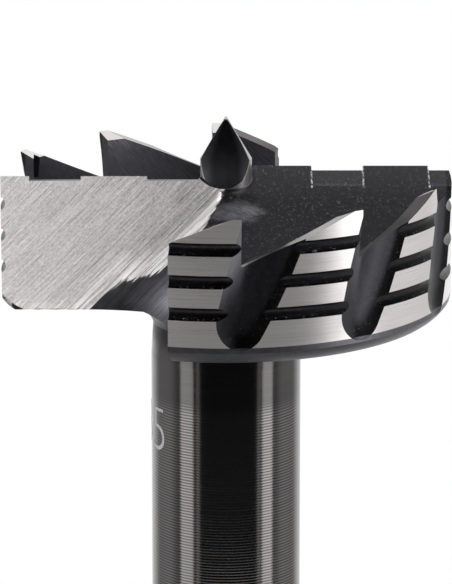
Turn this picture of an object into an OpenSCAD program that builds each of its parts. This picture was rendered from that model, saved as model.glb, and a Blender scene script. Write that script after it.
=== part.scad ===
// Forstner bit with a wave-cut rim, right-hand cut, standing on the end of its shank.
// Millimetres. +Z runs up the axis from the shank end to the centring spike.
// Angles round the axis are counted from -Y towards +X, the way the bit turns.

/* [Head] */
// Cutting diameter
head_d = 35; // [26:0.5:50]
// Height of the head at a lip, from the underside to the cutting edge
head_h = 10.5; // [9.5:0.1:14]
// Thickness of the rim wall
rim_wall = 1.2; // [1:0.05:1.8]
// Distance of each lip's rake plane ahead of the axis
lip_ahead = 1.9; // [1.4:0.05:2.4]
// Slope of the relief floor behind each lip, degrees
relief_angle = 17; // [13:0.5:19]
// Fall of each half's underside behind its lip, degrees
under_fall = 1.6; // [0.5:0.1:3]
// Height of the rounded edge under the rim
edge_h = 1; // [0.4:0.05:1.2]
// Width of the rounded edge under the rim
edge_w = 1; // [0.4:0.05:1.4]
// Height of the rounded lower corner under each lip
toe_h = 1.4; // [1:0.1:2]
// Width of the rounded lower corner under each lip
toe_w = 1.9; // [1:0.1:2.2]
// Radius of both roundings
edge_r = 3; // [2:0.1:6]

/* [Rim teeth] */
// Teeth on the rim behind each lip
rim_teeth = 3; // [2:1:3]
// Angle of the first tooth's leading corner
tooth_start = 4.2; // [0:0.1:6]
// Angle between teeth
tooth_pitch = 31.9; // [29:0.1:34]
// Height of the teeth above the lips
tooth_rise = 0.15; // [0.05:0.05:0.4]
// Slope of the land behind each tooth, degrees
land_slope = 23; // [14:0.5:25]
// Fall of that land towards the axis, degrees
land_fall = 5; // [0:1:12]
// Length of the level facet at each tooth's leading corner
facet_len = 1; // [0.6:0.1:2.4]
// Set-back of the face under each leading corner, degrees
face_back = 0.4; // [0.1:0.1:1]
// Fall of that facet towards the axis, degrees
facet_fall = 25; // [15:1:38]

/* [Gashes] */
// Radius of the gash cut ahead of each tooth
gash_r = 4.9; // [4:0.05:6]
// Depth below the lips of the middle of a gash's round lower end
gash_run = 7.8; // [6.6:0.1:8.2]
// How deep that end goes into the rim
gash_depth = 0.45; // [0.3:0.05:0.6]
// Angle by which that end trails its tooth
gash_lag = 0.6; // [-1:0.1:3]
// Forward lean of a gash, degrees
gash_lean = 24; // [14:0.1:28]
// Tilt of a gash towards the axis, degrees
gash_tilt = 4.6; // [1:0.1:5]

/* [Rim grooves] */
// Grooves round the rim
groove_count = 3; // [1:1:3]
// Depth of the first groove's middle below the lips
groove_top = 2.17; // [1.6:0.01:3]
// Distance between grooves
groove_step = 2.47; // [1.6:0.01:2.6]
// Height of a groove
groove_h = 1; // [0.5:0.05:1.3]
// Depth of a groove
groove_depth = 0.33; // [0.15:0.01:0.45]

/* [Gullets] */
// Angle of the gullet's trailing wall behind the -Y line
heel_angle = 16; // [8:0.5:20]
// Radius at the root of the gullet
root_r = 0.6; // [0.4:0.1:2]
// Radius of the slanted blend between rake face and hub
hub_r = 7; // [4:0.1:9]
// Slope of that blend, degrees
hub_slope = 42; // [35:1:50]
// Where the blend meets the underside, from the axis
hub_reach = 10.8; // [8:0.1:13]

/* [Chip breakers] */
// Where the first step in a lip begins, from the axis
breaker_first = 2.1; // [2:0.1:3]
// Length of a step along the lip
breaker_w = 4; // [2:0.1:4.2]
// Distance between the steps of one lip, the other lip lying half way between
breaker_pitch = 9.1; // [8.6:0.1:12]
// Depth of a step at the cutting edge
breaker_depth = 0.37; // [0.1:0.01:0.6]
// Backward slope of a step's floor, degrees
breaker_slope = 10.5; // [4:0.5:12]

/* [Spike] */
// Diameter of the spike
spike_d = 4; // [2.8:0.1:4.4]
// Height of the spike's point above the lips
spike_h = 4.3; // [3:0.1:7]
// Half angle of the spike's point, degrees
spike_half_angle = 30.5; // [24:0.5:35]
// Diameter of the flat on the spike's point
spike_flat = 0.12; // [0.04:0.02:0.4]
// Radius of the hollow ground in each side of the spike
scoop_r = 6.5; // [4.5:0.1:8]
// Height of the hollow's deepest line above the lips
scoop_h = 3.3; // [2:0.1:3.8]
// Thickness left between the two hollows
scoop_web = 0.2; // [0.1:0.05:1]
// Angle of the hollows behind the -Y line
scoop_angle = 8; // [0:1:45]
// Radius of the round lower end of a hollow
scoop_round = 2.3; // [1.9:0.1:3]
// Depth of that end below the lips
scoop_low = 1; // [0.5:0.1:1.1]

/* [Neck and shank] */
// Diameter of the neck
neck_d = 11.7; // [10.5:0.1:13]
// Diameter of the neck where it meets the head
neck_top_d = 11.2; // [10:0.1:12.5]
// Length of the tapered top of the neck
neck_taper = 4; // [2:0.5:8]
// Length of the neck from the head to the shank's shoulder
neck_len = 25; // [15:1:40]
// Radius between neck and head
neck_fillet = 2; // [0.6:0.1:2.4]
// Diameter of the shank
shank_d = 10; // [6:0.5:10.4]
// Length of the shank
shank_len = 50; // [30:1:80]
// Chamfer at the end of the shank
shank_chamfer = 0.5; // [0.2:0.1:1]

/* [Hidden] */
$fn = 96;
head_r = head_d / 2;
floor_r = head_r - rim_wall;
lip_z = shank_len + neck_len + head_h;
// Reach of a cutting shape past the body, and its overlap with a face it leaves
past = 2 * head_d;
lap = 0.01;
last_tooth = tooth_start + (rim_teeth - 1) * tooth_pitch;
shoulder_h = (neck_d - shank_d) / 2;

// Space taken up by one half, the lip that points to +X and all that follows it, up to a given line
module half_space(ahead = lip_ahead) {
    translate([0, -past, -past])
        cube([past, past + ahead, 2 * past]);
    translate([-past, -past - lip_ahead, -past])
        cube([2 * past, past, 2 * past]);
}

// Turned disc of the head, deep enough for the falling undersides, lips at height 0
module disc() {
    depth = head_h + (head_r + lip_ahead) * tan(under_fall) + lap;
    difference() {
        translate([0, 0, -depth])
            cylinder(r = head_r, h = depth + tooth_rise);
        for (i = [0 : groove_count - 1])
            translate([0, 0, -groove_top - i * groove_step])
                rim_groove();
    }
}

// A shape on the underside of one half, which falls away behind its lip
module on_underside() {
    intersection() {
        half_space();
        translate([0, lip_ahead, -head_h])
            rotate([under_fall, 0, 0])
                translate([0, -lip_ahead, 0])
                    children();
    }
}

// What lies below the underside of one half
module below() {
    on_underside()
        translate([-past, -past, -past])
            cube([2 * past, 2 * past, past]);
}

// Rounded edge under the rim of one half
module rim_edge() {
    on_underside()
        rotate_extrude()
            corner_edge(edge_w, edge_h);
}

// Rounded lower corner under a lip
module toe() {
    on_underside()
        translate([0, lip_ahead + 1, 0])
            rotate([90, 0, 0])
                linear_extrude(height = head_r)
                    corner_edge(toe_w, toe_h);
}

// What a rounding of the given width and height takes off the lower corner of the rim
module corner_edge(w, h) {
    chord = norm([w, h]);
    rise = sqrt(edge_r * edge_r - chord * chord / 4);
    middle = [head_r - w / 2, h / 2];
    centre = middle + rise * [-h, w] / chord;
    difference() {
        translate([head_r - w, -lap])
            square([2 * w, h + lap]);
        translate(centre)
            circle(r = edge_r);
    }
}

// Neck, flared into the head, and shank
module neck_and_shank() {
    neck_r = neck_d / 2;
    top_r = neck_top_d / 2;
    shank_r = shank_d / 2;
    neck_end = -head_h - neck_len;
    rotate_extrude() {
        polygon([
            [0, -head_h + neck_fillet],
            [top_r, -head_h + neck_fillet],
            [top_r, -head_h],
            [neck_r, -head_h - neck_taper],
            [neck_r, neck_end],
            [shank_r, neck_end - shoulder_h],
            [shank_r, -lip_z + shank_chamfer],
            [shank_r - shank_chamfer, -lip_z],
            [0, -lip_z]
        ]);
        difference() {
            translate([top_r / 2, -head_h - neck_fillet])
                square([top_r / 2 + neck_fillet, neck_fillet + lap]);
            translate([top_r + neck_fillet, -head_h - neck_fillet])
                circle(r = neck_fillet);
        }
    }
}

// One round-bottomed groove in the rim
module rim_groove() {
    groove_r = (groove_h * groove_h / 4 + groove_depth * groove_depth) / (2 * groove_depth);
    rotate_extrude()
        translate([head_r - groove_depth + groove_r, 0])
            circle(r = groove_r, $fn = 32);
}

// Space ahead of the lip that points to -X
module gullet() {
    intersection() {
        translate([0, 0, -past / 2])
            linear_extrude(height = past)
                gullet_plan();
        hub_blend();
    }
}

// Gullet seen along the axis: rake plane, rounded root and trailing wall
module gullet_plan() {
    root = [0, -lip_ahead];
    wall = [-sin(heel_angle), -cos(heel_angle)];
    set_back = root_r / tan((90 - heel_angle) / 2);
    on_rake = root + [-set_back, 0];
    on_wall = root + set_back * wall;
    polygon([
        on_rake,
        root + [-past, 0],
        root + [-past, -past],
        root + past * wall,
        on_wall
    ]);
    translate(on_rake + [0, -root_r])
        circle(r = root_r);
}

// Room left in front of the rake plane by the slanted blend into the hub
module hub_blend() {
    translate([-hub_reach, 0, -head_h])
        rotate([0, 90 - hub_slope, 0])
            linear_extrude(height = 2 * past, center = true) {
                translate([-past, -past])
                    square([past, past - lip_ahead]);
                translate([-lap, -past])
                    square([hub_r + lap, past - lip_ahead - hub_r]);
                translate([0, -lip_ahead - hub_r])
                    circle(r = hub_r);
            }
}

// What the relief takes off behind the lip that points to +X
module relief() {
    intersection() {
        half_space(lip_ahead + 1);
        translate([0, lip_ahead, 0])
            rotate([relief_angle, 0, 0])
                translate([-past, -past, 0])
                    cube([2 * past, 2 * past, past]);
        union() {
            cylinder(r = floor_r, h = past, center = true);
            ring_sector(last_tooth, 120 - last_tooth);
        }
    }
}

// Slice of the rim from one angle through a sweep towards +X
module ring_sector(from, sweep) {
    rotate([0, 0, from - 90])
        rotate_extrude(angle = sweep)
            translate([floor_r - lap, -head_h])
                square([rim_wall + 1, 2 * head_h]);
}

// What is cut from above to leave one tooth, with its leading corner on the -Y line
module tooth_top() {
    facet_sweep = facet_len / head_r * 180 / PI;
    land_sweep = tooth_pitch - facet_sweep;
    intersection() {
        ring_sector(-tooth_pitch - face_back, tooth_pitch + face_back);
        union() {
            rotate([0, 0, -facet_sweep - land_sweep / 2])
                translate([head_r * sin(land_sweep / 2), -head_r, tooth_rise])
                    rotate([-land_fall, -land_slope, 0])
                        translate([-past, -past, 0])
                            cube([2 * past, 2 * past, past]);
            rotate([0, 0, -facet_sweep / 2])
                translate([0, -head_r, tooth_rise])
                    rotate([-facet_fall, 0, 0])
                        translate([-past / 2, -lap - 1, 0])
                            cube([past, past, past]);
        }
    }
}

// Slanted gash with a round lower end, ahead of the tooth with its leading corner on the -Y line
module gash() {
    rotate([0, 0, -gash_lag])
        translate([0, gash_depth - head_r - gash_r, -gash_run])
            rotate([-gash_tilt, gash_lean, 0]) {
                sphere(r = gash_r);
                cylinder(r = gash_r, h = past);
            }
}

// Steps cut in the lip that points to +X, the first one beginning at the given radius
module breakers(first) {
    for (from = [first : breaker_pitch : head_r])
        translate([from, lip_ahead, -breaker_depth])
            rotate([breaker_slope, 0, 0])
                translate([0, -head_r / 2, 0])
                    cube([breaker_w, head_r / 2 + 1, head_h]);
}

// A shape for both halves, cut once for each lip
module both() {
    for (turn = [0, 180])
        rotate([0, 0, turn])
            children();
}

// A shape for every tooth behind one lip
module each_tooth() {
    for (i = [0 : rim_teeth - 1])
        rotate([0, 0, tooth_start + i * tooth_pitch])
            children();
}

// Centring point before it is hollow ground: a cone on a round foot
module spike() {
    spike_r = spike_d / 2;
    point_h = (spike_r - spike_flat / 2) / tan(spike_half_angle);
    translate([0, 0, -spike_r])
        cylinder(r = spike_r, h = spike_r + spike_h - point_h + lap);
    translate([0, 0, spike_h - point_h])
        cylinder(r1 = spike_r, r2 = spike_flat / 2, h = point_h);
}

// Hollow ground in the side of the spike that faces -Y, with a round lower end in the lip beside it
module hollow() {
    end_h = scoop_round - scoop_low;
    rotate([0, 0, -scoop_angle])
        intersection() {
            translate([0, -scoop_web / 2 - scoop_r, scoop_h])
                rotate([0, 90, 0])
                    cylinder(r = scoop_r, h = past, center = true);
            rotate([90, 0, 0])
                linear_extrude(height = past) {
                    translate([0, end_h])
                        circle(r = scoop_round);
                    translate([-scoop_round, end_h])
                        square([2 * scoop_round, past]);
                }
        }
}

// Disc with the relief floors behind its lips
module relieved_disc() {
    difference() {
        disc();
        both() relief();
    }
}

// That disc with its falling undersides and their rounded edges
module edged_disc() {
    difference() {
        difference() {
            difference() {
                relieved_disc();
                both() below();
            }
            both() rim_edge();
        }
        both() toe();
    }
}

// That disc with its rim teeth
module toothed_disc() {
    difference() {
        difference() {
            edged_disc();
            both() each_tooth() tooth_top();
        }
        both() each_tooth() gash();
    }
}

// Head with its stepped lips, before the gullets are opened
module head() {
    difference() {
        toothed_disc();
        breakers(breaker_first + breaker_pitch / 2);
        rotate([0, 0, 180])
            breakers(breaker_first);
    }
}

module forstner_bit() {
    color("#4a4b4e")
        translate([0, 0, lip_z])
            difference() {
                difference() {
                    union() {
                        head();
                        neck_and_shank();
                        spike();
                    }
                    both() hollow();
                }
                both() gullet();
            }
}

forstner_bit();
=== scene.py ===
"""Dresses the forstner bit: ground and blackened steel, the size mark and the studio."""
import math
from types import SimpleNamespace

import bmesh
import bpy
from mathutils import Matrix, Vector


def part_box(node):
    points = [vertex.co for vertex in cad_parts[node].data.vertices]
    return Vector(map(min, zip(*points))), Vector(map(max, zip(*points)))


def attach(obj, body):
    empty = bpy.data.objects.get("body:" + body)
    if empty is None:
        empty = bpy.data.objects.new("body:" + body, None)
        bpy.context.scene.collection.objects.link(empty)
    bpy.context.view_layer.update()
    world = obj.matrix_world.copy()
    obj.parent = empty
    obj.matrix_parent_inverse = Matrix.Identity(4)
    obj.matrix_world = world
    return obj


bl_info = {
    "name": "Forstner Bit",
    "version": (1, 0, 0),
    "blender": (4, 5, 0),
    "location": "View3D > Sidebar > Forstner Bit",
    "description": "Finishes, size mark and studio for a forstner bit",
    "category": "Object",
}

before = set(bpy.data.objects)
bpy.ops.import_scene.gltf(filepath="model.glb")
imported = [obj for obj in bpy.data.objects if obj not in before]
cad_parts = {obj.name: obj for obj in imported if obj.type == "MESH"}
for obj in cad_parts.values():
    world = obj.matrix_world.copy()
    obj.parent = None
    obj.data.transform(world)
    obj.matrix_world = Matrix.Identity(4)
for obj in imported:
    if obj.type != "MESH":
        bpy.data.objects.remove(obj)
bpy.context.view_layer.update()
NODE = "forstner_bit"
LOW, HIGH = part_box(NODE)
SPIKE_RISE = 0.0043
LIP = HIGH.z - SPIKE_RISE

# Millimetres in a metre, the unit of every place and mask in the steel's material
MM = 1000.0
# Share of a slanting line along each of two square axes
DIAGONAL = 0.7071
# Lower edge of the ground rake face: distance off the axis, then depth below the lips, as shares of the reach
GRIND_REACH = 12.0
GRIND_EDGE = [
    (0.0, 0.07), (1.0, 1.0), (0.12, 0.31), (0.39, 0.6), (0.47, 0.645), (0.57, 0.68), (0.68, 0.7), (0.77, 0.77),
    (0.84, 0.83), (0.91, 0.92)]

# Digits: their share of the text's size, thinner strokes, wider spacing, and the step of the bend round the neck
DIGIT_SHARE = 0.69
STROKE_OFFSET = -0.00011
DIGIT_SPACING = 1.05
BEND_STEP = 0.0002
# How far the mark stands off the neck, and its thickness
MARK_PROUD = 0.000012
MARK_THICK = 0.00003
MERGE = 1e-7

# Side softboxes: name, degrees from the front, width, and the degrees of the strip beside each
SIDE_LAMPS = (("left", -63, 0.2, -44), ("right", 67, 0.165, 52))
SIDE_DISTANCE = 0.5
LAMP_HEIGHT = 0.5
STRIP_WIDTH = 0.05
# High softboxes: degrees from the front, distance, rise over the distance, and size
HIGH_TURN = 57.6
HIGH_DISTANCE = 0.6
HIGH_RISE = 0.9
HIGH_SIZE = (0.7, 0.6)
FLOOR_RADIUS = 0.13
FLOOR_GAP = 0.0001


class HeadSizes(bpy.types.PropertyGroup):
    """Sizes of the solid that the finishes follow."""

    radius: bpy.props.FloatProperty(
        name="Cutting Radius", description="Radius of the ground rim", default=HIGH.x, unit="LENGTH")
    wall: bpy.props.FloatProperty(
        name="Rim Wall", description="Thickness of the toothed rim", default=0.0012, unit="LENGTH")
    lip_ahead: bpy.props.FloatProperty(
        name="Lip Ahead", description="Distance of each rake plane from the axis", default=0.0019, unit="LENGTH")
    relief: bpy.props.FloatProperty(
        name="Relief", description="Slope of the floor behind each lip", default=math.radians(17), subtype="ANGLE")
    height: bpy.props.FloatProperty(
        name="Head Height", description="From the lips down to the underside", default=0.0105, unit="LENGTH")
    under_fall: bpy.props.FloatProperty(
        name="Underside Fall", description="Slope of the underside behind each lip", default=math.radians(1.6),
        subtype="ANGLE")
    black_edge: bpy.props.FloatProperty(
        name="Black Edge", description="Height of the lower edge of the rim that is left black", default=0.00138,
        unit="LENGTH")
    ring_pitch: bpy.props.FloatProperty(
        name="Ring Pitch", description="Distance between the turned rings on the neck", default=0.000228,
        unit="LENGTH")
    breaker_first: bpy.props.FloatProperty(
        name="First Breaker", description="Where the first step in a lip begins", default=0.0021, unit="LENGTH")
    breaker_width: bpy.props.FloatProperty(
        name="Breaker Width", description="Length of a step along the lip", default=0.004, unit="LENGTH")
    breaker_pitch: bpy.props.FloatProperty(
        name="Breaker Pitch", description="Distance between the steps of one lip", default=0.0091, unit="LENGTH")
    spike_radius: bpy.props.FloatProperty(
        name="Spike Radius", description="Radius of the spike's foot", default=0.002, unit="LENGTH")
    spike_angle: bpy.props.FloatProperty(
        name="Spike Angle", description="Half angle of the point", default=math.radians(30.5), subtype="ANGLE")
    neck_radius: bpy.props.FloatProperty(
        name="Neck Radius", description="Radius of the turned neck", default=0.00585, unit="LENGTH")


class SteelLooks(bpy.types.PropertyGroup):
    """Colours and finishes of the steel."""

    bright: bpy.props.FloatVectorProperty(
        name="Ground Steel", description="Lips, lands and tooth tops",
        default=(0.625, 0.598, 0.592), size=3, min=0, max=1, subtype="COLOR")
    black: bpy.props.FloatVectorProperty(
        name="Blackened Steel", description="Floors, gashes, grooves and hub",
        default=(0.058, 0.058, 0.065), size=3, min=0, max=1, subtype="COLOR")
    neck: bpy.props.FloatVectorProperty(
        name="Turned Neck", description="Neck and shank",
        default=(0.172, 0.165, 0.162), size=3, min=0, max=1, subtype="COLOR")
    dust: bpy.props.FloatVectorProperty(
        name="Dust", description="Specks on the blackened floors",
        default=(0.8, 0.8, 0.8), size=3, min=0, max=1, subtype="COLOR")
    bright_roughness: bpy.props.FloatProperty(
        name="Ground Roughness", description="Roughness of ground steel", default=0.34, min=0, max=1)
    black_roughness: bpy.props.FloatProperty(
        name="Blackened Roughness", description="Roughness of blackened steel", default=0.36, min=0, max=1)
    neck_roughness: bpy.props.FloatProperty(
        name="Neck Roughness", description="Roughness of the turned neck", default=0.13, min=0, max=1)


class MarkSizes(bpy.types.PropertyGroup):
    """The size number on the neck."""

    number: bpy.props.StringProperty(
        name="Number", description="Cutting diameter in millimetres", default="35")
    height: bpy.props.FloatProperty(
        name="Height", description="Height of a digit", default=0.0036, unit="LENGTH")
    drop: bpy.props.FloatProperty(
        name="Drop", description="From the lips down to the top of the digits", default=0.0183, unit="LENGTH")
    bearing: bpy.props.FloatProperty(
        name="Bearing", description="Angle of the number's right edge from the front", default=math.radians(-51),
        subtype="ANGLE")
    colour: bpy.props.FloatVectorProperty(
        name="Colour", description="Etched metal", default=(0.42, 0.42, 0.42), size=3, min=0, max=1, subtype="COLOR")


class StudioSizes(bpy.types.PropertyGroup):
    """Camera and lamps."""

    lens: bpy.props.FloatProperty(
        name="Lens", description="Focal length in millimetres", default=268)
    distance: bpy.props.FloatProperty(
        name="Distance", description="From the camera to the axis", default=0.3395, unit="LENGTH")
    elevation: bpy.props.FloatProperty(
        name="Elevation", description="Height of the camera above level", default=math.radians(14), subtype="ANGLE")
    aim_drop: bpy.props.FloatProperty(
        name="Aim", description="From the lips down to the point aimed at", default=0.00968, unit="LENGTH")
    side_power: bpy.props.FloatProperty(
        name="Side Lamps", description="Power of each side softbox", default=0.49, unit="POWER")
    strip_power: bpy.props.FloatProperty(
        name="Strip Lamps", description="Power of each narrow strip beside a side softbox", default=0.038, unit="POWER")
    high_power: bpy.props.FloatProperty(
        name="High Lamps", description="Power of each high softbox", default=2.4, unit="POWER")


class Val:
    """A number socket that takes part in Python expressions."""

    def __init__(self, tree, socket):
        self.tree = tree
        self.socket = socket

    def node(self, kind, settings=None, **inputs):
        """Any other node, with its settings, then its sockets' values or links."""
        n = self.tree.nodes.new(kind)
        for key, value in (settings or {}).items():
            if key == "stops":
                ramp = n.color_ramp
                for position, level in value[2:]:
                    ramp.elements.new(position)
                for element, (position, level) in zip(ramp.elements, sorted(value)):
                    element.position = position
                    element.color = (level, level, level, 1)
            else:
                setattr(n, key, value)
        for key, value in inputs.items():
            name = int(key[1:]) if key[0] == "i" and key[1:].isdigit() else key.replace("_", " ")
            target = n.inputs[name]
            if isinstance(value, Val):
                self.tree.links.new(value.socket, target)
            else:
                target.default_value = value
        return n

    def out(self, kind, settings=None, output=0, **inputs):
        return Val(self.tree, self.node(kind, settings, **inputs).outputs[output])

    def math(self, operation, *values):
        inputs = {f"i{k}": v for k, v in enumerate((self,) + values)}
        return self.out("ShaderNodeMath", {"operation": operation}, **inputs)

    def __add__(self, other):
        return self.math("ADD", other)

    __radd__ = __add__

    def __mul__(self, other):
        return self.math("MULTIPLY", other)

    __rmul__ = __mul__

    def __sub__(self, other):
        return self.math("SUBTRACT", other)

    def __rsub__(self, other):
        return (self * -1.0).math("ADD", other)

    def __truediv__(self, other):
        return self.math("DIVIDE", other)

    def __neg__(self):
        return self * -1.0

    def __abs__(self):
        return self.math("ABSOLUTE")

    def rise(self, low, high):
        """0 below one level, 1 above the other, smooth between them."""
        return self.out(
            "ShaderNodeMapRange", {"interpolation_type": "SMOOTHSTEP"},
            Value=self, From_Min=low, From_Max=high, To_Min=0.0, To_Max=1.0)

    def near(self, level, reach):
        """1 at a level, 0 beyond its reach."""
        return 1.0 - abs(self - level).rise(0.6 * reach, reach)

    def vector(self, y, z):
        return self.out("ShaderNodeCombineXYZ", X=self, Y=y, Z=z)

    def noise(self, scale, detail=2.0, roughness=0.5):
        return self.out(
            "ShaderNodeTexNoise", {"noise_dimensions": "3D"}, Vector=self, Scale=scale, Detail=detail,
            Roughness=roughness)

    def mix(self, low, high):
        """A colour between two, with this value as the share of the second."""
        return self.out(
            "ShaderNodeMix", {"data_type": "RGBA"}, output=2, i0=self, i6=low, i7=high)

    def tint(self, colour):
        """A colour made lighter or darker by this value."""
        return self.out(
            "ShaderNodeMix", {"data_type": "RGBA", "blend_type": "MULTIPLY"}, output=2, i0=1.0,
            i6=rgba(colour), i7=self.vector(self, self))

    def either(self, *others):
        """The largest of this value and others."""
        largest = self
        for other in others:
            largest = largest.math("MAXIMUM", other)
        return largest


def rgba(colour):
    return (colour[0], colour[1], colour[2], 1.0)


def new_material(name):
    """An empty node material with its shader, and a first value to build on."""
    material = bpy.data.materials.new(name)
    material.use_nodes = True
    tree = material.node_tree
    shader = next(n for n in tree.nodes if n.type == "BSDF_PRINCIPLED")
    return material, Val(tree, None), shader


def feed(shader, **values):
    """Links or sets the shader's sockets."""
    for key, value in values.items():
        socket = shader.inputs[key.replace("_", " ")]
        if isinstance(value, Val):
            value.tree.links.new(value.socket, socket)
        else:
            socket.default_value = value


def scratches(across, along, depth=0.0, detail=3.0, roughness=0.6):
    """Uneven lines that run along one way, stretched by the scales already in the two values."""
    return across.vector(along, depth).noise(1.0, detail, roughness)


def surface(start, sizes):
    """Where a point of the bit lies, in millimetres, and which way the steel faces there."""
    place = start.out("ShaderNodeTexCoord", output="Object")
    place = start.out("ShaderNodeVectorMath", {"operation": "SCALE"}, i0=place, Scale=MM)
    x, y, z = (Val(start.tree, s) for s in start.node("ShaderNodeSeparateXYZ", Vector=place).outputs)
    facing = start.out("ShaderNodeNewGeometry", output="Normal")
    nx, ny, nz = (Val(start.tree, s) for s in start.node("ShaderNodeSeparateXYZ", Vector=facing).outputs)
    ahead = sizes.lip_ahead * MM
    head_r = sizes.radius * MM
    h = z - LIP * MM
    r = (x * x + y * y).math("SQRT")
    turn = y.math("ARCTAN2", x)

    # Each half in the place of the half whose lip points to +X
    side = x.math("SIGN")
    between = abs(y).math("LESS_THAN", ahead)
    half = side * between - y.math("SIGN") * (1.0 - between)
    behind = ahead - half * y
    return SimpleNamespace(
        place=place, facing=facing, x=x, y=y, z=z, ny=ny, nz=nz, h=h, r=r, turn=turn, arc=turn * head_r, ahead=ahead,
        head_r=head_r, outward=(x * nx + y * ny) / r, ahead_facing=(x * ny - y * nx) / r, side=side, half=half,
        front=side * y, behind=behind, out=abs(x), down=-h,
        under=h + sizes.height * MM + behind * math.tan(sizes.under_fall), floor_fall=behind * math.tan(sizes.relief))


def rake_finish(s):
    """Rake faces, with grinding lines from the outer lower corner up to the spike."""
    along = (s.out + s.down) * DIAGONAL
    across = (s.out - s.down) * DIAGONAL
    lines = scratches(across * 8.5, along * 0.22, s.front, 4.0, 0.75).rise(0.25, 0.75)
    streaks = scratches(across * 6.5, along * 0.12, s.front).rise(0.38, 0.62)
    pits = (across * 1.6).vector(along, s.front).noise(6.0, 2.0, 0.6).rise(0.25, 0.75)
    jag = scratches(across * 5.0, along * 0.2, 0.0, 2.0) - 0.5
    edge = s.out.out("ShaderNodeValToRGB", {"stops": GRIND_EDGE}, Fac=s.out / GRIND_REACH) * GRIND_REACH
    face = (s.side * s.ny).rise(0.5, 0.75) * s.front.rise(s.ahead - 0.12, s.ahead - 0.05)
    face = face * (1.0 - s.front.rise(4.2, 4.6))
    inside = edge + jag * 1.3 - s.down
    ground = face * inside.rise(-0.12, 0.12)
    rim = 1.0 - inside.rise(0.2, 2.6)
    tone = 0.195 + lines * (0.95 - s.out * 0.022) + pits * 0.45 + s.out * 0.03
    tone = tone + streaks * (0.06 + rim * 1.6) - rim * 0.02
    return SimpleNamespace(face=face, ground=ground, hub=face * (1.0 - ground), lines=lines, tone=tone)


def rim_finish(s, sizes):
    """Ground lands and tooth tops, and between them the black grooves that take painted shade, the gash flanks that
    take a painted highlight, and the lower edge that takes painted light and shade.
    """
    above_edge = s.under.rise(sizes.black_edge * MM - 0.03, sizes.black_edge * MM + 0.03)
    land = s.r.rise(s.head_r - 0.09, s.head_r - 0.04) * s.outward.rise(0.96, 0.985) * above_edge
    lines = scratches(s.z * 11.0, s.arc * 0.12, 0.0, 4.0).rise(0.25, 0.75)

    # Tooth tops, clear of the relief floor
    wall = s.head_r - sizes.wall * MM
    tops = s.r.rise(wall - 0.03, wall) * s.nz.rise(0.5, 0.6) * abs(s.h + s.floor_fall).rise(0.05, 0.09)
    tops = tops * s.behind.rise(4.0, 4.3) * s.h.rise(-7.5, -7.3) * (1.0 - s.outward.rise(0.1, 0.2))
    tip = tops * s.h.rise(-1.8, -1.0)
    facet = tip * (-s.outward).rise(0.2, 0.3)

    lower_edge = (1.0 - above_edge) * s.r.rise(15.5, 16.0)
    left_black = (1.0 - land) * (1.0 - tops)
    groove = s.r.rise(s.head_r - 0.5, s.head_r - 0.3) * left_black * (1.0 - lower_edge)
    # Painted highlight on the gash flanks that face ahead, stronger towards the top
    flank_highlight = s.ahead_facing.rise(0.04, 0.3) * s.r.rise(s.head_r - 0.65, s.head_r - 0.5) * left_black
    flank_highlight = flank_highlight * (1.0 - lower_edge) * s.outward.rise(0.7, 0.8) * (0.3 + 0.7 * s.h.rise(-7.0, -3.0))
    return SimpleNamespace(
        land=land, lines=lines, tops=tops, tip=tip, facet=facet, lower_edge=lower_edge, groove=groove, flank_highlight=flank_highlight)


def spike_finish(s, sizes):
    """The spike, and the bands left on it between its hollows."""
    cone = (SPIKE_RISE * MM - s.h) * math.tan(sizes.spike_angle) + 0.06
    cone = cone.math("MINIMUM", sizes.spike_radius * MM)
    spike = s.h.rise(-1.2, -0.9) * (1.0 - s.r.rise(2.2, 2.4))
    return SimpleNamespace(
        whole=spike, band=(s.r - cone).near(0.0, 0.06) * spike, hollow_side=(s.out / cone.either(0.2)).rise(0.4, 0.9))


def lip_finish(start, s, sizes, rake):
    """Worn edges, partly painted edge highlights, the bright side walls of the chip breakers, and the floors of the
    steps, which take painted shade.
    """
    on_lip = (1.0 - s.behind.rise(3.6, 4.6)) * (1.0 - rake.face) * s.r.rise(2.6, 3.0)
    near_top = s.h.rise(-2.0, -1.6)
    round_edge = start.out("ShaderNodeBevel", {"samples": 6}, Radius=0.00012)
    sharp = start.out(
        "ShaderNodeVectorMath", {"operation": "DOT_PRODUCT"}, output="Value", i0=round_edge, i1=s.facing)
    # Edges lightened: partly wear, partly a painted highlight where they catch the light
    worn = (1.0 - sharp.rise(0.86, 0.985)) * s.place.noise(5.0, 2.0, 0.6).rise(0.35, 0.6) * on_lip * near_top

    def walls(first):
        """Both ends of a lip's first step and the start of its next one."""
        places = (first, first + sizes.breaker_width * MM, first + sizes.breaker_pitch * MM)
        ends = [(s.half * s.x).near(place, 0.09) for place in places]
        return ends[0].either(*ends[1:])

    first = sizes.breaker_first * MM
    right = walls(first + sizes.breaker_pitch * MM / 2) * s.side.rise(0.0, 0.5)
    left = walls(first) * (1.0 - s.side.rise(-0.5, 0.0))
    lines = (right + left) * on_lip * (1.0 - s.behind.rise(3.2, 3.5)) * near_top
    lines = lines * s.place.noise(2.5, 2.0, 0.6).rise(0.35, 0.6)
    return SimpleNamespace(worn=(worn * 0.7).either(lines), stepped=(s.down - s.floor_fall).rise(0.03, 0.08) * on_lip)


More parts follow.
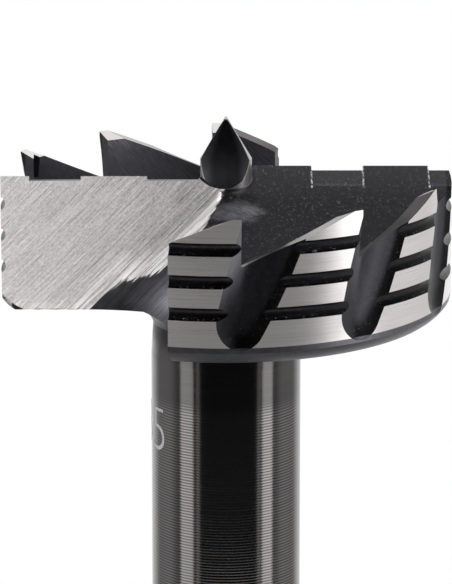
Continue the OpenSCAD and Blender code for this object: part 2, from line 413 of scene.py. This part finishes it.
def neck_finish(s, sizes, looks):
    """Turned neck and shank, with rings below the smooth part under the head."""
    whole = 1.0 - s.h.rise(-sizes.height * MM - 3.4, -sizes.height * MM - 1.9)
    whole = whole * (1.0 - s.r.rise(8.2, 8.6))
    ringed = 1.0 - s.h.rise(-18.5, -16.5)
    rings = ((s.z * (math.tau / (sizes.ring_pitch * MM))).math("SINE") * 0.5 + 0.5) * ringed
    wear = scratches(s.z * 16.0, s.turn * 0.8)
    tone = 0.64 - s.h.rise(-15.0, -11.5) * 0.3 + ringed * 0.7 - ringed * (1.0 - rings) * 0.85
    return SimpleNamespace(
        whole=whole, rings=rings, colour=((0.75 + wear * 0.5) * tone).tint(looks.neck),
        roughness=looks.neck_roughness + (wear - 0.5) * 0.12)


def blackened_tone(s, grain, rake, rim, spike, lip):
    """How light the blackened steel is from place to place."""
    # A painted highlight on the floors beside the spike, crossed by hatched lines, and a painted shadow between it and
    # the spike
    highlight_spread = (s.half * s.x - 0.7).math("POWER", 2.0) * 0.6 + (s.half * s.y + 4.9).math("POWER", 2.0)
    shade = (s.half * s.x - 1.3).math("POWER", 2.0) + (s.half * s.y + 3.0).math("POWER", 2.0)
    hatch = scratches((s.x + s.y) * 5.0, (s.x - s.y) * 0.8, s.z).rise(0.3, 0.7) * 0.6 + 0.7
    painted_highlight = 1.0 - (highlight_spread + (s.place.noise(0.9, 3.0, 0.6) - 0.5) * 7.0).rise(-0.6, 4.4)
    tone = 0.7 + grain * 0.6 + painted_highlight * s.nz.rise(0.7, 0.85) * hatch * 6.0
    tone = tone + rake.hub * (1.3 + rake.lines * 4.0) * (1.0 - s.down.rise(8.0, 10.5) * 0.4)
    # Painted shade under the head, around the neck
    tone = tone * (1.0 - s.down.rise(9.5, 11.0) * (1.0 - s.r.rise(8.5, 9.5)) * 0.7)
    # Painted shade on the floors of the chip breakers
    tone = tone + (1.0 - s.behind.rise(0.5, 6.5)) * 0.8 - lip.stepped * 0.75
    # Painted shadow beside the spike's foot
    tone = tone * (0.7 + 0.3 * shade.rise(0.0, 2.2))

    # Slanting lines on the inner wall of the rim
    slant = scratches((s.arc - s.z) * 9.0, (s.arc + s.z) * 0.5).rise(0.35, 0.7)
    inner_wall = (1.0 - s.outward.rise(-0.95, -0.9)) * s.r.rise(12.0, 13.0)
    tone = tone + inner_wall * (0.8 + slant * (0.9 + s.h.rise(-1.5, 1.0) * 4.2))

    # Painted shade in the grooves, darkest on their upward-facing half, and a painted highlight on the gash flanks
    tone = tone * (1.0 - rim.groove * (0.6 + 0.32 * s.nz.rise(0.0, 0.4)) * (1.0 - rim.flank_highlight)) + rim.flank_highlight * 2.0
    # The rim's lower edge: painted light where it faces outward, painted shade where it turns under
    tone = tone * (1.0 + rim.lower_edge * (s.outward.rise(0.9, 0.98) * 2.2 - 0.4))
    return tone * (1.0 - spike.whole * (0.75 - spike.hollow_side * 0.6))


def steel_material(sizes, looks):
    """Ground where the tool cuts, black where it was left from the bath, turned on the neck."""
    material, start, shader = new_material("bit_steel")
    s = surface(start, sizes)
    rake = rake_finish(s)
    rim = rim_finish(s, sizes)
    spike = spike_finish(s, sizes)
    lip = lip_finish(start, s, sizes, rake)
    neck = neck_finish(s, sizes, looks)

    # Rounded lower corners under the lips, ground with the rake faces
    toe = (1.0 - s.behind.rise(2.0, 2.4)) * (1.0 - s.under.rise(1.5, 1.7)) * s.r.rise(14.8, 15.2) * (1.0 - rake.face)
    bright = rake.ground.either(rim.land, rim.tops, spike.band * 0.8, toe * 0.9, lip.worn)

    grain = s.place.noise(2.2, 4.0, 0.6)
    fine = s.place.noise(26.0, 3.0, 0.6)
    specks = (s.place.noise(3.1, 1.0, 0.5) * 0.25 + s.place.noise(17.0, 0.0, 0.5)).rise(0.915, 0.95)
    specks = specks * (0.2 + 0.8 * s.nz.rise(0.5, 0.8)) * (1.0 - neck.whole) * (1.0 - spike.whole * 0.8)

    top_tone = 0.3 + rim.tip * 0.2 + rim.facet * 1.05 + rim.land * (0.95 + rim.lines * 0.18)
    # Worn edges, partly painted edge highlights, with the spike's bands and the toes
    top_tone = top_tone + lip.worn * 0.9 + spike.band * 0.7 + toe * 0.5
    ground = (rake.ground * rake.tone + (1.0 - rake.ground) * top_tone).tint(looks.bright)
    black = blackened_tone(s, grain, rake, rim, spike, lip).tint(looks.black)
    black = specks.mix(black, rgba(looks.dust))
    colour = bright.mix(neck.whole.mix(black, neck.colour), ground)

    black_rough = looks.black_roughness + (grain - 0.5) * 0.16
    ground_rough = looks.bright_roughness + rake.ground * (rake.lines - 0.5) * 0.16
    ground_rough = ground_rough + rim.land * (rim.lines * 0.06 - 0.07) - rim.tops * 0.14
    left_rough = neck.whole * neck.roughness + (1.0 - neck.whole) * black_rough
    roughness = bright * ground_rough + (1.0 - bright) * left_rough

    height = rake.ground * rake.lines * 0.012 + rim.land * rim.lines * 0.002 + neck.whole * neck.rings * 0.004
    height = height + (1.0 - bright) * (1.0 - neck.whole) * fine * 0.004
    bump = start.out("ShaderNodeBump", {"invert": False}, Strength=1.0, Distance=0.001, Height=height)
    metal = 1.0 - rake.ground * 0.5 - rim.facet * 0.5 - rim.land * 0.1 - lip.worn * 0.5
    metal = metal - specks * (1.0 - bright) * 0.6 - toe * 0.6
    feed(shader, Base_Color=colour, Roughness=roughness, Metallic=metal, Normal=bump)
    return material


def mark_material(looks):
    """Pale etched metal of the size mark."""
    material, start, shader = new_material("etched_mark")
    place = start.out("ShaderNodeTexCoord", output="Object")
    worn = place.noise(9000.0, 2.0, 0.6)
    feed(shader, Base_Color=(0.7 + worn * 0.6).tint(looks.colour), Roughness=0.5 + worn * 0.2, Metallic=0.6)
    return material


class FORSTNER_OT_finish(bpy.types.Operator):
    """Gives the solid bit its ground, blackened and turned steel"""

    bl_idname = "forstner.finish"
    bl_label = "Finish the Steel"

    def execute(self, context):
        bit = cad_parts[NODE]
        material = steel_material(context.scene.forstner_head, context.scene.forstner_looks)
        bit.data.materials.clear()
        bit.data.materials.append(material)
        return {"FINISHED"}


def flat_digits(context, mark):
    """A flat mesh of the number, its right upper corner at the origin."""
    text = bpy.data.curves.new("size_mark_text", "FONT")
    text.body = mark.number
    text.size = mark.height / DIGIT_SHARE
    text.align_x = "RIGHT"
    text.align_y = "TOP"
    text.offset = STROKE_OFFSET
    text.space_character = DIGIT_SPACING
    source = bpy.data.objects.new("size_mark_text", text)
    context.scene.collection.objects.link(source)
    context.view_layer.update()
    mesh = bpy.data.meshes.new_from_object(source)
    bpy.data.objects.remove(source)
    bpy.data.curves.remove(text)
    return mesh


class FORSTNER_OT_size_mark(bpy.types.Operator):
    """Etches the cutting diameter on the neck"""

    bl_idname = "forstner.size_mark"
    bl_label = "Etch the Size Mark"

    def execute(self, context):
        mark = context.scene.forstner_mark
        neck_r = context.scene.forstner_head.neck_radius
        mesh = flat_digits(context, mark)
        bm = bmesh.new()
        bm.from_mesh(mesh)
        bmesh.ops.remove_doubles(bm, verts=bm.verts, dist=MERGE)
        low = min(v.co.x for v in bm.verts)
        for k in range(1, int(-low / BEND_STEP) + 2):
            bmesh.ops.bisect_plane(
                bm, geom=bm.verts[:] + bm.edges[:] + bm.faces[:], plane_co=(-k * BEND_STEP, 0, 0), plane_no=(1, 0, 0))
        top = max(v.co.y for v in bm.verts)
        skin = neck_r + MARK_PROUD
        for v in bm.verts:
            angle = mark.bearing + v.co.x / neck_r
            v.co = Vector((skin * math.sin(angle), -skin * math.cos(angle), LIP - mark.drop + v.co.y - top))
        bmesh.ops.recalc_face_normals(bm, faces=bm.faces)
        bm.normal_update()
        inward = [f for f in bm.faces if f.normal.xy.dot(f.calc_center_median().xy) < 0]
        bmesh.ops.reverse_faces(bm, faces=inward)
        bmesh.ops.solidify(bm, geom=bm.faces[:], thickness=MARK_THICK)
        bm.to_mesh(mesh)
        bm.free()
        mesh.name = "size_mark"
        piece = bpy.data.objects.new("size_mark", mesh)
        context.scene.collection.objects.link(piece)
        mesh.materials.clear()
        mesh.materials.append(mark_material(mark))
        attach(piece, "root")
        return {"FINISHED"}


def level_way(turn):
    """Level direction, in degrees from the front towards the right."""
    return Vector((math.sin(math.radians(turn)), -math.cos(math.radians(turn)), 0.0))


def softbox(scene, name, place, aim, size, power):
    """A rectangular lamp at a place, turned to what it lights."""
    lamp = bpy.data.lights.new(name, "AREA")
    lamp.shape = "RECTANGLE"
    lamp.size, lamp.size_y = size
    lamp.energy = power
    holder = bpy.data.objects.new(name, lamp)
    holder.location = place
    holder.rotation_euler = (Vector(aim) - Vector(place)).to_track_quat("-Z", "Y").to_euler()
    holder.visible_camera = False
    scene.collection.objects.link(holder)


def ray_kinds(start):
    """Masks of the rays that come from the camera, and of those that a surface mirrors or lets through."""
    rays = start.node("ShaderNodeLightPath")
    seen, glossy, through = (
        Val(start.tree, rays.outputs[name]) for name in ("Is Camera Ray", "Is Glossy Ray", "Is Transmission Ray"))
    return seen, glossy.either(through)


class FORSTNER_OT_studio(bpy.types.Operator):
    """Sets the floor, the white surroundings, the softboxes and the camera"""

    bl_idname = "forstner.studio"
    bl_label = "Set the Studio"

    def execute(self, context):
        scene = context.scene
        studio = scene.forstner_studio
        scene.view_settings.view_transform = "Standard"
        aim = Vector((0, 0, LIP - studio.aim_drop))

        camera = bpy.data.cameras.new("camera")
        camera.lens = studio.lens
        camera.clip_start = 0.01
        camera.clip_end = 20
        holder = bpy.data.objects.new("camera", camera)
        back = Vector((0, -math.cos(studio.elevation), math.sin(studio.elevation)))
        holder.location = aim + back * studio.distance
        holder.rotation_euler = (-back).to_track_quat("-Z", "Y").to_euler()
        scene.collection.objects.link(holder)
        scene.camera = holder

        self.surroundings(scene)
        self.floor(scene)
        for name, turn, width, strip in SIDE_LAMPS:
            place = aim + SIDE_DISTANCE * level_way(turn)
            softbox(scene, "softbox_" + name, place, aim, (width, LAMP_HEIGHT), studio.side_power)
            place = aim + SIDE_DISTANCE * level_way(strip)
            softbox(scene, "strip_" + name, place, aim, (STRIP_WIDTH, LAMP_HEIGHT), studio.strip_power)
            place = aim + HIGH_DISTANCE * (level_way(math.copysign(HIGH_TURN, turn)) + Vector((0, 0, HIGH_RISE)))
            softbox(scene, "softbox_high_" + name, place, aim, HIGH_SIZE, studio.high_power)
        return {"FINISHED"}

    def surroundings(self, scene):
        """White behind the bit, dim behind the camera."""
        world = bpy.data.worlds.new("studio")
        world.use_nodes = True
        scene.world = world
        tree = world.node_tree
        start = Val(tree, None)
        seen, mirrored = ray_kinds(start)
        way = start.node("ShaderNodeSeparateXYZ", Vector=start.out("ShaderNodeTexCoord", output="Generated"))
        across, away, up = (Val(tree, s) for s in way.outputs)
        sky = 0.46 * away.rise(-0.25, 0.15) * (1.0 - 0.5 * up.rise(0.4, 0.6))
        glow = 0.52 * away.rise(0.55, 0.8) * (1.0 - up.rise(0.2, 0.5))
        ends = 0.17 * abs(across).rise(0.75, 0.98) * (1.0 - up.rise(0.3, 0.6))
        level = 0.02 + sky + glow + ends
        strength = seen + (1.0 - seen) * (mirrored * level + (1.0 - mirrored) * 0.9)
        ground = next(n for n in tree.nodes if n.type == "BACKGROUND")
        ground.inputs["Color"].default_value = (1, 1, 1, 1)
        tree.links.new(strength.socket, ground.inputs["Strength"])

    def floor(self, scene):
        """A pale floor under the shank that keeps the shadow near the bit."""
        bm = bmesh.new()
        bmesh.ops.create_circle(bm, cap_ends=True, cap_tris=False, segments=64, radius=FLOOR_RADIUS)
        mesh = bpy.data.meshes.new("floor")
        bm.to_mesh(mesh)
        bm.free()
        floor = bpy.data.objects.new("floor", mesh)
        floor.location = (0, 0, LOW.z - FLOOR_GAP)
        scene.collection.objects.link(floor)
        material, start, shader = new_material("pale_floor")
        tree = start.tree
        feed(shader, Base_Color=(0.85, 0.85, 0.85, 1), Roughness=0.9)
        place = start.out("ShaderNodeTexCoord", output="Object")
        reach = start.out("ShaderNodeVectorMath", {"operation": "LENGTH"}, output="Value", i0=place)
        seen, mirrored = ray_kinds(start)
        share = seen.either(mirrored) * reach.rise(0.05, 0.15)
        glow = start.node("ShaderNodeEmission", Color=(1, 1, 1, 1), Strength=1.0)
        blend = start.node("ShaderNodeMixShader", Fac=share)
        tree.links.new(shader.outputs[0], blend.inputs[1])
        tree.links.new(glow.outputs[0], blend.inputs[2])
        end = next(n for n in tree.nodes if n.type == "OUTPUT_MATERIAL")
        tree.links.new(blend.outputs[0], end.inputs["Surface"])
        mesh.materials.append(material)


class FORSTNER_PT_panel(bpy.types.Panel):
    """The bit's finishes, mark and studio in the sidebar"""

    bl_idname = "FORSTNER_PT_panel"
    bl_label = "Forstner Bit"
    bl_space_type = "VIEW_3D"
    bl_region_type = "UI"
    bl_category = "Forstner Bit"

    def draw(self, context):
        for group in ("forstner_head", "forstner_looks", "forstner_mark", "forstner_studio"):
            box = self.layout.box()
            settings = getattr(context.scene, group)
            for key in settings.__annotations__:
                box.prop(settings, key)
        for kind in (FORSTNER_OT_finish, FORSTNER_OT_size_mark, FORSTNER_OT_studio):
            self.layout.operator(kind.bl_idname)


GROUPS = {
    "forstner_head": HeadSizes,
    "forstner_looks": SteelLooks,
    "forstner_mark": MarkSizes,
    "forstner_studio": StudioSizes,
}
CLASSES = tuple(GROUPS.values()) + (
    FORSTNER_OT_finish, FORSTNER_OT_size_mark, FORSTNER_OT_studio, FORSTNER_PT_panel)


def register():
    for kind in CLASSES:
        bpy.utils.register_class(kind)
    for name, kind in GROUPS.items():
        setattr(bpy.types.Scene, name, bpy.props.PointerProperty(type=kind))


def unregister():
    for name in GROUPS:
        delattr(bpy.types.Scene, name)
    for kind in reversed(CLASSES):
        bpy.utils.unregister_class(kind)


def main():
    register()
    bpy.ops.forstner.finish()
    bpy.ops.forstner.size_mark()
    bpy.ops.forstner.studio()


if __name__ == "__main__":
    main()
